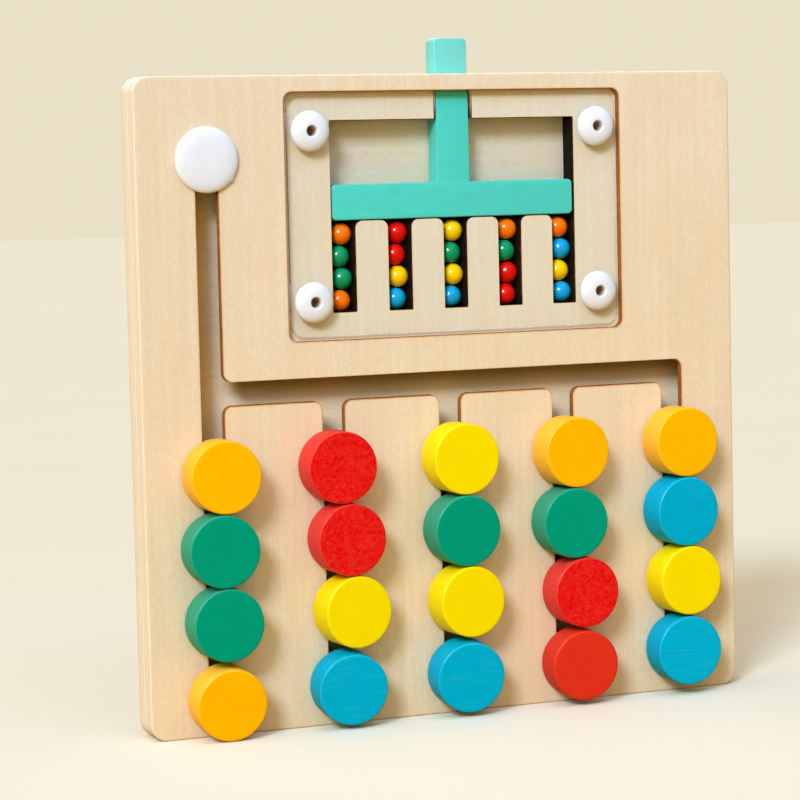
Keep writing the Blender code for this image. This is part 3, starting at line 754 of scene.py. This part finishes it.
# %% Sheets
def carry_profile(outline, inset, depth):
    """A wall profile carried along an outline: the point of row i and column k is outline(i) + left
    normal(i) times inset(k), at depth(k). At a corner the normal is the mitre of its two sides."""
    side = np.roll(outline, -1) - outline
    normal = 1j * side / abs(side)
    mitre = normal + np.roll(normal, 1)
    mitre = 2 * mitre / abs(mitre) ** 2
    moved = outline[:, None] + mitre[:, None] * inset[None, :]
    return np.stack(np.broadcast_arrays(moved.real, depth[None, :], moved.imag), -1)


def cut_sheet(outlines):
    """A flat sheet from its outlines, the outer one anticlockwise and the holes clockwise. Each comes
    with its scorch and a wall profile whose rows are inset, depth, edge and burn. Two flat faces close
    the first and the last column of the walls."""
    points, faces, tops, ends = [], [], [], []
    values = {"edge": [], "burn": []}
    count = 0
    for outline, scorch, profile in outlines:
        inset, depth, edge, burn = np.array(profile, float).T
        wall = carry_profile(outline, inset, depth)
        rows, columns = wall.shape[:2]
        faces += grid_faces(rows, columns, count)
        index = count + np.arange(rows * columns).reshape(rows, columns)
        tops.append((wall[:, 0], index[:, 0]))
        ends.append((wall[:, -1], index[:, -1]))
        points.append(wall.reshape(-1, 3))
        values["edge"].append(np.broadcast_to(edge, (rows, columns)).ravel())
        values["burn"].append((np.broadcast_to(scorch, (rows,))[:, None] * burn).ravel())
        count += rows * columns
    for rims in (tops, ends):
        index = np.concatenate([numbers for _, numbers in rims])
        flat = tessellate_polygon([[Vector(point) for point in rim] for rim, _ in rims])
        faces += index[np.array(flat)].tolist()
    return np.concatenate(points), faces, {label: np.concatenate(parts) for label, parts in values.items()}


def board_sheet(name, outlines, material, node):
    """One of the board's plywood sheets."""
    sheet = make_piece(name, *cut_sheet(outlines), material, "board", "birch_ply", node)
    print(name, len(sheet.data.polygons), "faces")

# %% Turned pieces
def turned(radius, depth, centre, steps):
    """A profile carried round an axis along Y: at angle a and profile point k the surface has
    x = centre x + radius(k) cos a, y = depth(k), z = centre z + radius(k) sin a."""
    angle = 2 * np.pi * np.arange(steps)[:, None] / steps
    x = centre[0] + radius * np.cos(angle)
    z = centre[1] + radius * np.sin(angle)
    return np.stack(np.broadcast_arrays(x, np.asarray(depth)[None, :], z), -1)


def turned_piece(name, surface, values, *finish):
    """A piece of a turned surface. Its values go along the profile and are the same all round."""
    shape = surface.shape[:2]
    spread = {label: np.broadcast_to(numbers, shape) for label, numbers in values.items()}
    return make_piece(name, surface, grid_faces(*shape), spread, *finish)


def quarter(radius, depth, rounding, steps):
    """Quarter of a circle that turns from a flat face at depth to a side at radius."""
    angle = np.linspace(0, np.pi / 2, steps + 1)
    return radius - rounding + rounding * np.sin(angle), depth + rounding - rounding * np.cos(angle)


def node_centre(node):
    """Middle of a CAD node's box in X and Z."""
    low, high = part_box(node)
    return (low.x + high.x) / 2, (low.z + high.z) / 2

# %% [markdown]
# ## The three sheets of the board
# The front sheet has the comb of slots, with the loading hole at the top of the left one, and the window.
# Its cut walls are brown, with a thin scorched line on the face that glows further over the tops of the
# tiles between the slots. The middle sheet holds the ball chamber, which is open to the top for the gate,
# and the wide track of the discs' feet. The back sheet closes both. All outlines repeat the CAD's sizes,
# in metres, and the walls are carried along them with softened edges. Each row of a wall profile is
# inset, depth, edge and burn.

# %% Sizes of the board
low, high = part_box("front_panel")
LEFT, RIGHT, BOTTOM, TOP = low.x, high.x, low.z, high.z
FRONT, FRONT_BACK = low.y, high.y
MIDDLE_FRONT, MIDDLE_BACK = (corner.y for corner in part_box("middle_panel"))
BACK_FRONT, BACK = (corner.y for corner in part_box("back_panel"))
BOARD_CORNER = 0.006
SLOT_HALF = 0.0043
SLOT_CORNER = 0.0034
STEM = 0.0016
COLUMN_X = (-0.0934, -0.0467, 0.0, 0.0467, 0.0934)
CHANNEL_Z = 0.125
SLOT_BOTTOM = 0.0125
HOLE_X, HOLE_Z = node_centre("end_plug")
HOLE_RADIUS = 0.010
SHARP = 0.00006
print("board", [round(1000 * v, 2) for v in (LEFT, RIGHT, BOTTOM, TOP, FRONT, BACK)], "mm")

# %% Comb outline
def comb_rows(half, bottom, left_top, finger_corner, bottom_corner):
    """Arcs of the comb-shaped track, clockwise: every column, the cross channel and the long left leg,
    which ends in two sharp corners."""
    legs = []
    for x in COLUMN_X:
        legs += [
            (x - half, CHANNEL_Z - half, finger_corner),
            (x - half, bottom, bottom_corner),
            (x + half, bottom, bottom_corner),
            (x + half, CHANNEL_Z - half, finger_corner),
        ]
    channel = [
        (COLUMN_X[-1] + half, CHANNEL_Z + half, SLOT_CORNER),
        (COLUMN_X[0] + half, CHANNEL_Z + half, finger_corner),
        (COLUMN_X[0] + half, left_top, SHARP),
        (COLUMN_X[0] - half, left_top, SHARP),
    ]
    return rounded_rows(legs[1:-1] + channel)


HOLE_POINTS = 49
CHANNEL_TOP_SCORCH, TILE_TOP_SCORCH, SLOT_SCORCH = 0.22, 1.05, 0.75

meet = math.acos(SLOT_HALF / HOLE_RADIUS)
rows = comb_rows(SLOT_HALF, SLOT_BOTTOM, HOLE_Z - HOLE_RADIUS * math.sin(meet), SLOT_CORNER, STEM)
hole_turn = np.linspace(-meet, np.pi + meet, HOLE_POINTS)
hole_arc = HOLE_X + 1j * HOLE_Z + HOLE_RADIUS * np.exp(1j * hole_turn)
comb = np.concatenate([rows[:-2].ravel(), hole_arc])[::-1]
comb_scorch = np.where(abs(comb.imag - CHANNEL_Z - SLOT_HALF) < SHARP, CHANNEL_TOP_SCORCH, SLOT_SCORCH)
comb_scorch = np.where(abs(comb.imag - CHANNEL_Z + SLOT_HALF) < SHARP, TILE_TOP_SCORCH, comb_scorch)
print("comb", len(comb), "points")

# %% Front sheet
WINDOW = (-0.0631, 0.0725, 0.1428, 0.2338)
WINDOW_CORNER = 0.0032
WINDOW_SCORCH = 0.80
SANDED_ROUND = 0.0006
SANDED_EDGE = (0.0, 0.2, 0.5, 0.8, 1.0, 1.0, 1.0)

outer = rounded_path(box_corners(LEFT, RIGHT, BOTTOM, TOP, BOARD_CORNER), 14)
window = rounded_path(box_corners(*WINDOW, WINDOW_CORNER), 12)[::-1]
sanded_in, sanded_down = quarter(0.0, FRONT, SANDED_ROUND, len(SANDED_EDGE) - 1)
sanded_profile = [
    (0.0014, FRONT, 0.0, 0.0),
    *((inset, depth, edge, 0.0) for inset, depth, edge in zip(-sanded_in, sanded_down, SANDED_EDGE)),
    (0.0, FRONT_BACK, 1.0, 0.0),
    (0.0010, FRONT_BACK, 0.0, 0.0),
]
cut_profile = [
    (0.0013, FRONT, 0.0, 0.00),
    (0.0008, FRONT, 0.0, 0.17),
    (0.0004, FRONT, 0.0, 0.38),
    (0.00022, FRONT, 0.0, 0.60),
    (0.00008, FRONT + 0.00008, 0.5, 0.86),
    (0.0, FRONT + 0.00026, 1.0, 0.98),
    (0.0, FRONT + 0.00120, 1.0, 0.86),
    (0.0, FRONT + 0.00220, 1.0, 0.98),
    (0.0, FRONT_BACK - 0.0002, 1.0, 1.30),
    (0.0002, FRONT_BACK, 1.0, 1.30),
    (0.0010, FRONT_BACK, 0.0, 0.30),
]
front_outlines = [
    (outer, 0.0, sanded_profile),
    (window, WINDOW_SCORCH, cut_profile),
    (comb, comb_scorch, cut_profile),
]
board_sheet("front_sheet", front_outlines, front_ply, "front_panel")

# %% Chamber outline
CHAMBER_LEFT, CHAMBER_RIGHT = -0.0448, 0.0542
CHAMBER_TOP = 0.2234
CHAMBER_CORNER = 0.0004
BALL_SLOT_X = (-0.0401, -0.0177, 0.0047, 0.0271, 0.0495)
BALL_SLOT_HALF = 0.0047
BALL_SLOT_BOTTOM = 0.1528
COMB_TOP = 0.1864
COMB_CORNER = 0.0028
NOTCH_LEFT, NOTCH_RIGHT = -0.00245, 0.01185
CHAMBER_REACH = 0.08
CLEAN_TOP = 0.0001

ball_slots = []
for x in reversed(BALL_SLOT_X):
    ball_slots += [
        (x + BALL_SLOT_HALF, COMB_TOP, COMB_CORNER),
        (x + BALL_SLOT_HALF, BALL_SLOT_BOTTOM, CHAMBER_CORNER),
        (x - BALL_SLOT_HALF, BALL_SLOT_BOTTOM, CHAMBER_CORNER),
        (x - BALL_SLOT_HALF, COMB_TOP, COMB_CORNER),
    ]
inlet = [
    (NOTCH_RIGHT, TOP, SHARP),
    (NOTCH_RIGHT, CHAMBER_TOP, SHARP),
    (CHAMBER_RIGHT, CHAMBER_TOP, CHAMBER_CORNER),
    *ball_slots[1:-1],
    (CHAMBER_LEFT, CHAMBER_TOP, CHAMBER_CORNER),
    (NOTCH_LEFT, CHAMBER_TOP, SHARP),
    (NOTCH_LEFT, TOP, SHARP),
]
corners = box_corners(LEFT, RIGHT, BOTTOM, TOP, BOARD_CORNER)
middle_outline = rounded_path(corners[:3] + inlet + corners[3:])
laser_cut = (abs(middle_outline.real) < CHAMBER_REACH) & (middle_outline.imag < TOP - CLEAN_TOP)
print("chamber", laser_cut.sum(), "burnt points of", len(middle_outline))

# %% Middle sheet
TRACK_HALF = 0.0120
TRACK_CORNER = 0.0010
TRACK_BOTTOM = 0.0048
RIVET_HOLE = 0.0036
RIVETS = ("rivet_top_left", "rivet_top_right", "rivet_bottom_left", "rivet_bottom_right")

track_rows = comb_rows(TRACK_HALF, TRACK_BOTTOM, HOLE_Z + TRACK_HALF, TRACK_CORNER, SLOT_CORNER)
rivet_holes = [round_hole(*node_centre(node), RIVET_HOLE) for node in RIVETS]
middle_profile = [
    (0.0006, MIDDLE_FRONT, 0.0, 0.00),
    (0.0003, MIDDLE_FRONT, 0.0, 0.08),
    (0.00008, MIDDLE_FRONT, 0.0, 0.40),
    (0.0, MIDDLE_FRONT + 0.00008, 1.0, 1.12),
    (0.0, MIDDLE_FRONT + 0.0030, 1.0, 1.45),
    (0.0, MIDDLE_BACK - 0.0030, 1.0, 1.40),
    (0.0, MIDDLE_BACK - 0.00012, 1.0, 1.40),
    (0.0006, MIDDLE_BACK, 0.0, 0.3),
]
middle_cuts = [(middle_outline, laser_cut.astype(float)), (track_rows.ravel()[::-1], 1.0)]
middle_cuts += [(hole, 1.0) for hole in rivet_holes]
middle_outlines = [(outline, scorch, middle_profile) for outline, scorch in middle_cuts]
board_sheet("middle_sheet", middle_outlines, middle_ply, "middle_panel")

# %% Back sheet
EDGE_ROUND = 0.0004

back_profile = [
    (0.0012, BACK_FRONT, 0.0, 0.0),
    (0.0, BACK_FRONT + 0.00005, 1.0, 0.0),
    (0.0, BACK - EDGE_ROUND, 1.0, 0.0),
    (0.00012, BACK - 0.00012, 0.6, 0.0),
    (EDGE_ROUND, BACK, 0.0, 0.0),
]
board_sheet("back_sheet", [(outer, 0.0, back_profile)], back_ply, "back_panel")

# %% [markdown]
# ## Pane, rivets and plug
# The pane is a sheet of acrylic with polished edges, drilled for four white push rivets, so it is cut
# like the other sheets. A rivet is turned: a domed head with a tapered hole and a shank that ends in the
# board. The plug that closes the loading hole is turned as well, with a low dome that drops away towards
# its rim, and it carries a small nib of moulding flash there.

# %% Pane
PANE_FRONT, PANE_BACK = (corner.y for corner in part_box("window_pane"))
PANE_MARGIN = 0.0013
PANE_CORNER = 0.0050
POLISH = 0.00015
STRIP_START, STRIP_FULL = 0.0008, 0.0007

pane_box = np.array(WINDOW) + PANE_MARGIN * np.array((1, -1, 1, -1))
pane_outline = rounded_path(box_corners(*pane_box, PANE_CORNER), 14)
pane_profile = [
    (POLISH, PANE_FRONT, 0.0, 0.0),
    (0.0, PANE_FRONT + POLISH, 1.0, 0.0),
    (0.0, PANE_BACK - STRIP_START, 1.0, 0.0),
    (0.0, PANE_BACK - STRIP_FULL, 1.0, 1.0),
    (0.0, PANE_BACK - POLISH, 1.0, 1.0),
    (POLISH, PANE_BACK, 0.0, 0.0),
]
pane_outlines = [(pane_outline, 1.0, pane_profile)]
pane_outlines += [(hole, 0.0, pane_profile) for hole in rivet_holes]
pane = make_piece("pane", *cut_sheet(pane_outlines), acrylic, "board", "clear_acrylic", "window_pane")
print("pane", len(pane.data.polygons), "faces")

# %% Rivets
HEAD, SHANK, MOUTH, HOLE_END = 0.0075, 0.0033, 0.0021, 0.0014
HEAD_HEIGHT, RIM_HEIGHT = 0.0030, 0.0004
HOLE_DEPTH = 0.0070
LIP = 0.0003
SHANK_TAPER = 0.0013
HOLE_SHADE_START, HOLE_SHADE_DEPTH = 0.0006, 0.0012
RIVET_STEPS = 64

low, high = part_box("rivet_top_left")
crown, shank_end = low.y, high.y
seat = crown + HEAD_HEIGHT
rim = seat - RIM_HEIGHT
hole_profile = np.array([
    (0.0, crown + HOLE_DEPTH),
    (HOLE_END * 0.7, crown + HOLE_DEPTH),
    (HOLE_END, crown + (HOLE_DEPTH - 0.0004)),
    ((HOLE_END + MOUTH) / 2, crown + 0.0026),
    (MOUTH - 0.0002, crown + 0.0012),
    (MOUTH - 0.0001, crown + 0.0006),
    (MOUTH, crown + 0.0002),
    (MOUTH + 0.0001, crown + 0.00006),
])
sweep = np.linspace(0.0, np.pi / 2, 22)
dome_radius = MOUTH + LIP + (HEAD - MOUTH - LIP) * np.sin(sweep)
dome_profile = np.stack([dome_radius, rim - (rim - crown) * np.cos(sweep)], -1)
shank_profile = np.array([
    (HEAD, seat - 0.0002),
    (HEAD - 0.0002, seat),
    (SHANK, seat),
    (SHANK, shank_end - SHANK_TAPER),
    (SHANK - SHANK_TAPER, shank_end),
    (0.0, shank_end),
])
rivet_radius, rivet_depth = np.concatenate([hole_profile, dome_profile, shank_profile]).T
# The holes' insides turn brown with depth: painted shade.
rivet_hole_shade = np.clip((rivet_depth - crown - HOLE_SHADE_START) / HOLE_SHADE_DEPTH, 0.0, 1.0) * (rivet_radius < MOUTH)
rivet_hole_shade[-len(shank_profile):] = 0.0
for node in RIVETS:
    surface = turned(rivet_radius, rivet_depth, node_centre(node), RIVET_STEPS)
    name = node.replace("rivet", "push_rivet")
    turned_piece(name, surface, {"hole": rivet_hole_shade}, white_plastic, "board", "white_plastic", node)
print("rivets", len(RIVETS), "with", surface.shape[0] * surface.shape[1], "points each")

# %% Plug
CAP_HEIGHT, CAP_RISE = 0.0024, 0.0020
CAP_BEVEL, BOSS_PLAY, BOSS_BEVEL = 0.0003, 0.0003, 0.0005
NIB_ANGLE, NIB_WIDTH, NIB_LENGTH = math.radians(-38), 0.05, 0.0006
NIB_REACH, NIB_FALL = 0.0004, 0.0012
PLUG_STEPS = 120

low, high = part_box("end_plug")
cap = (high.x - low.x) / 2
cap_face, boss_end = low.y, high.y
cap_seat = cap_face + CAP_HEIGHT
dome = np.sin(np.linspace(0.0, np.pi / 2, 26))
dome_fall = 1.0 - np.sqrt(1.0 - dome ** 4)
boss = HOLE_RADIUS - BOSS_PLAY
plug_radius = np.concatenate([cap * dome, [cap, cap - CAP_BEVEL, boss, boss, boss - BOSS_BEVEL, 0.0]])
plug_depth = np.concatenate([
    cap_face + CAP_RISE * dome_fall,
    [cap_seat - 0.0001, cap_seat, cap_seat, boss_end - BOSS_BEVEL, boss_end, boss_end],
])
surface = turned(plug_radius, plug_depth, (HOLE_X, HOLE_Z), PLUG_STEPS)
angle = 2 * np.pi * np.arange(PLUG_STEPS)[:, None] / PLUG_STEPS
away = np.angle(np.exp(1j * (angle - NIB_ANGLE)))
on_rim = (plug_radius > cap - NIB_REACH) & (plug_depth > cap_face + NIB_FALL)
nib = NIB_LENGTH * np.exp(-(away / NIB_WIDTH) ** 2) * on_rim
surface[..., 0] += nib * np.cos(angle)
surface[..., 2] += nib * np.sin(angle)
plug = turned_piece("plug", surface, {}, white_plastic, "board", "white_plastic", "end_plug")
print("plug", len(plug.data.polygons), "faces")

# %% [markdown]
# ## Gate
# The gate is a painted T of plywood: its bar lies over the ball slots and its stem leaves through the top
# edge of the board as a handle. It is a sheet too, with rounded corners and softened edges where the
# paint is thin.

# %% Gate
BAR_HEIGHT = 0.0131
STEM_LEFT, STEM_RIGHT = -0.00185, 0.01125
GATE_CORNER, INNER_CORNER = 0.0018, 0.0002
GATE_SIDE = (0.0, 0.0, 0.3, 0.8, 1.0)

low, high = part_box("gate")
bar_top = low.z + BAR_HEIGHT
gate_outline = rounded_path([
    (low.x, low.z, GATE_CORNER),
    (high.x, low.z, GATE_CORNER),
    (high.x, bar_top, GATE_CORNER),
    (STEM_RIGHT, bar_top, INNER_CORNER),
    (STEM_RIGHT, high.z, GATE_CORNER),
    (STEM_LEFT, high.z, GATE_CORNER),
    (STEM_LEFT, bar_top, INNER_CORNER),
    (low.x, bar_top, GATE_CORNER),
])
gate_in, gate_down = quarter(0.0, 0.0, EDGE_ROUND, len(GATE_SIDE) - 1)
rounding = zip(-gate_in, low.y + gate_down, GATE_SIDE)
front_half = [(inset, depth, side, 0.0) for inset, depth, side in rounding]
back_half = [(inset, high.y + low.y - depth, *rest) for inset, depth, *rest in reversed(front_half)]
points, faces, values = cut_sheet([(gate_outline, 1.0, front_half + back_half)])
sides = {"side": values["edge"]}
gate = make_piece("lift_gate", points, faces, sides, gate_paint, "gate", "gate_mint", "gate")
print("gate", len(gate.data.polygons), "faces")

# %% [markdown]
# ## Discs
# Twenty turned wooden discs stand on thin stems, each with a wide foot in the track behind. The feet are
# near black, which also paints the deep shade in the gaps between the discs. A disc is a turned profile
# with a small rounding on its rim, and the value side says where its face ends. The discs are loose, so
# each
# leans a little on its stem: the surface is turned about the point where the stem meets the board.

# %% The pattern and the lean
PATTERN = (
    ("amber", "green", "green", "amber"),
    ("red", "red", "yellow", "blue"),
    ("yellow", "green", "yellow", "blue"),
    ("amber", "green", "red", "red"),
    ("amber", "blue", "yellow", "blue"),
)
LEAN = ((-1, -1, 0, 0), (0, 1, 5, -3), (2, 2, 4.5, -3), (3, 0, 1, -3), (2, 3, 3, -2))
DROOP = ((0, 0, 0, 4.5), (0, 0, 0, 3.5), (0, 0, 0, 3.5), (0, 0, 0, 1), (0, 0, 0, 0))


def by_place(columns):
    """The entries of columns that are written from the top down, under the CAD's names of their places:
    columns count from the left and rows from the bottom."""
    return {
        f"c{column}_r{row}": entry
        for column, entries in enumerate(columns, 1)
        for row, entry in enumerate(reversed(entries), 1)
    }


def leaned(surface, pivot, lean, droop):
    """Turns a surface about a point of the board's face, about Z by the lean, then about X by the droop."""
    turn = Matrix.Rotation(math.radians(droop), 3, "X") @ Matrix.Rotation(math.radians(lean), 3, "Z")
    return (surface - pivot) @ np.array(turn).T + pivot


colours, leans, droops = by_place(PATTERN), by_place(LEAN), by_place(DROOP)
print("places", len(colours))

# %% Disc and runner profiles
DISC = 0.01325
STANDOFF = 0.0012
FACE_RINGS = (0.0, 0.004, 0.008, 0.0115)
RIM_SIDE = (0.0, 0.0, 0.1, 0.3, 0.7, 1.0, 1.0)
DISC_ROUND, DISC_BACK_ROUND = 0.0007, 0.0004
FOOT, FOOT_HEIGHT, FOOT_ROUND = 0.0090, 0.0040, 0.0004
STEM_SINK = 0.0002

low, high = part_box("slider_c1_r1")
disc_face, foot_back = low.y, high.y
disc_back = FRONT - STANDOFF
foot_front = foot_back - FOOT_HEIGHT
stem_end = disc_back - STEM_SINK
rim_radius, rim_depth = quarter(DISC, disc_face, DISC_ROUND, len(RIM_SIDE) - 1)
back_radius, back_depth = quarter(DISC, 0.0, DISC_BACK_ROUND, 3)
disc_radius = np.concatenate([FACE_RINGS, rim_radius, back_radius[::-1], [STEM, 0.0]])
disc_depth = np.concatenate([
    np.full(len(FACE_RINGS), disc_face),
    rim_depth,
    disc_back - back_depth[::-1],
    [disc_back, disc_back],
])
disc_side = np.concatenate([np.zeros(len(FACE_RINGS)), RIM_SIDE, np.ones(len(back_radius) + 2)])
runner_radius, runner_depth = np.array([
    (0.0, stem_end),
    (STEM, stem_end),
    (STEM, foot_front),
    (FOOT - FOOT_ROUND, foot_front),
    (FOOT, foot_front + FOOT_ROUND),
    (FOOT, foot_back - FOOT_ROUND),
    (FOOT - FOOT_ROUND, foot_back),
    (0.0, foot_back),
]).T
print("disc", round(1000 * (disc_back - disc_face), 2), "mm thick")

# %% Discs and runners
DISC_STEPS, RUNNER_STEPS = 96, 40

for place, colour in colours.items():
    node = "slider_" + place
    slot = "disc_" + colour
    x, z = node_centre(node)
    surface = turned(disc_radius, disc_depth, (x, z), DISC_STEPS)
    surface = leaned(surface, np.array([x, FRONT, z]), leans[place], droops[place])
    paint = odd_paint.get(place, disc_paint[colour])
    turned_piece("disc_" + place, surface, {"side": disc_side}, paint, node, slot, node)
    surface = turned(runner_radius, runner_depth, (x, z), RUNNER_STEPS)
    turned_piece("runner_" + place, surface, {}, dark_plastic_and_shade, node, slot)
print("discs", len(colours))

# %% [markdown]
# ## Balls
# The balls are glossy beads behind the pane, in the same colours. A half circle carried round the ball's
# own axis gives a fine sphere that is closed at both poles.

# %% Balls
BALL = 0.004
BALL_STEPS = 48

ball_low, ball_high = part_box("ball_c1_r1")
ball_depth = (ball_low.y + ball_high.y) / 2
swing = np.linspace(0.0, np.pi, 29)
for place, colour in colours.items():
    node = "ball_" + place
    surface = turned(BALL * np.sin(swing), ball_depth - BALL * np.cos(swing), node_centre(node), BALL_STEPS)
    bead = turned_piece("bead_" + place, surface, {}, ball_gloss[colour], node, "ball_" + colour, node)
    glossy_beads.objects.link(bead)
print("balls", len(colours))

# %% [markdown]
# ## Floor
# The board stands on a plain pale floor that runs far past the view, so that no edge of it shows. To all
# rays but the camera's it is a warm yellow, which gives the lower sides of the discs their warm bounce
# light.

# %% Floor
FLOOR_RADIUS = 8.0
FLOOR_BOUNCE = (0.48, 0.31, 0.04)
FLOOR_PALE, FLOOR_HAZE = (0.90, 0.86, 0.78), (0.88, 0.84, 0.76)
FLOOR_STEPS = 64

ring = np.array([0.0, 0.3, 1.0, 3.0, FLOOR_RADIUS])
angle = 2 * np.pi * np.arange(FLOOR_STEPS)[:, None] / FLOOR_STEPS
floor_points = np.stack(np.broadcast_arrays(ring * np.cos(angle), ring * np.sin(angle), 0.0 * ring), -1)
floor_mesh = bpy.data.meshes.new("floor")
floor_mesh.from_pydata(floor_points.reshape(-1, 3), [], grid_faces(*floor_points.shape[:2]))
floor_finish, tree, shader = new_material("pale floor", Roughness=0.7, Specular_IOR_Level=0.2)
pale = mix(tree, noise(tree, object_point(tree), EVEN, 6.0), FLOOR_PALE, FLOOR_HAZE)
seen = put(tree, "ShaderNodeLightPath").outputs["Is Camera Ray"]
dress(tree, shader, Base_Color=mix(tree, seen, FLOOR_BOUNCE, pale))
floor_mesh.materials.append(floor_finish)
floor = add_object("floor", floor_mesh)
not_lit_from_behind.objects.link(floor)
not_lit_from_behind.collection_objects[0].light_linking.link_state = "EXCLUDE"
print("floor", FLOOR_RADIUS, "m")
